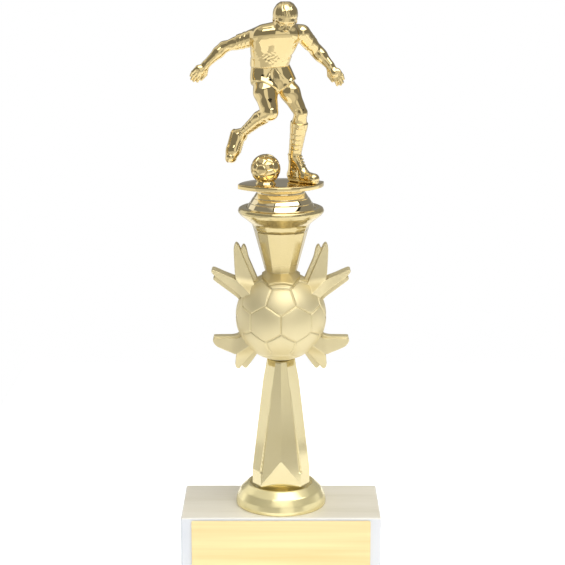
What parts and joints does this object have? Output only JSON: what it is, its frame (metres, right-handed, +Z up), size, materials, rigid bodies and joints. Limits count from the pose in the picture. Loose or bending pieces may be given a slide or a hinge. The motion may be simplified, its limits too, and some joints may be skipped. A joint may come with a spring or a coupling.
{
  "type": "figure trophy",
  "caption": "Tall award trophy: gold football player on a stepped foot, over a faceted riser with a large winged ball, on a small marble block with a blank engraving plate.",
  "frame": {"origin": "on the surface the trophy stands on, below the middle of the base, on the tie rod's axis", "axes": "+Z up along the tie rod, -Y towards the front with the engraving plate, +X to the viewer's right"},
  "size_m": [0.104, 0.0514, 0.2952],
  "materials": {
    "marble": "polished white marble with faint grey streaks",
    "brushed_plate": "brushed pale gold sheet",
    "tape": "adhesive film",
    "felt": "felt pad",
    "zinc_steel": "zinc plated steel",
    "riser_gold": "pale gold metallised plastic, glossy",
    "collar_gold": "gold metallised plastic, glossy",
    "satin_gold": "pale gold metallised plastic, satin",
    "figure_gold": "deep gold metallised plastic, mirror"
  },
  "bodies": {
    "base": {"marble_base": "marble", "plate_adhesive": "tape", "engraving_plate": "brushed_plate", "foot_pad_back_left": "felt", "foot_pad_back_right": "felt", "foot_pad_front_left": "felt", "foot_pad_front_right": "felt"},
    "riser": {"tie_rod": "zinc_steel", "base_washer": "zinc_steel", "lock_washer": "zinc_steel", "base_nut": "zinc_steel", "foot_collar": "collar_gold", "lower_column": "riser_gold", "ball_front_shell": "satin_gold", "ball_back_shell": "satin_gold", "upper_cup": "riser_gold"},
    "figure": {"figure_insert_nut": "zinc_steel", "stepped_foot": "figure_gold", "stand_plate": "figure_gold", "kick_ball": "figure_gold", "player": "figure_gold"}
  },
  "joints": [
    {"name": "riser_swivel", "type": "hinge", "parent": "base", "child": "riser", "pos_m": [0, 0, 0.03175], "axis": [0, 0, 1], "continuous": true},
    {"name": "figure_swivel", "type": "hinge", "parent": "riser", "child": "figure", "pos_m": [0, 0, 0.1904], "axis": [0, 0, 1], "continuous": true}
  ]
}
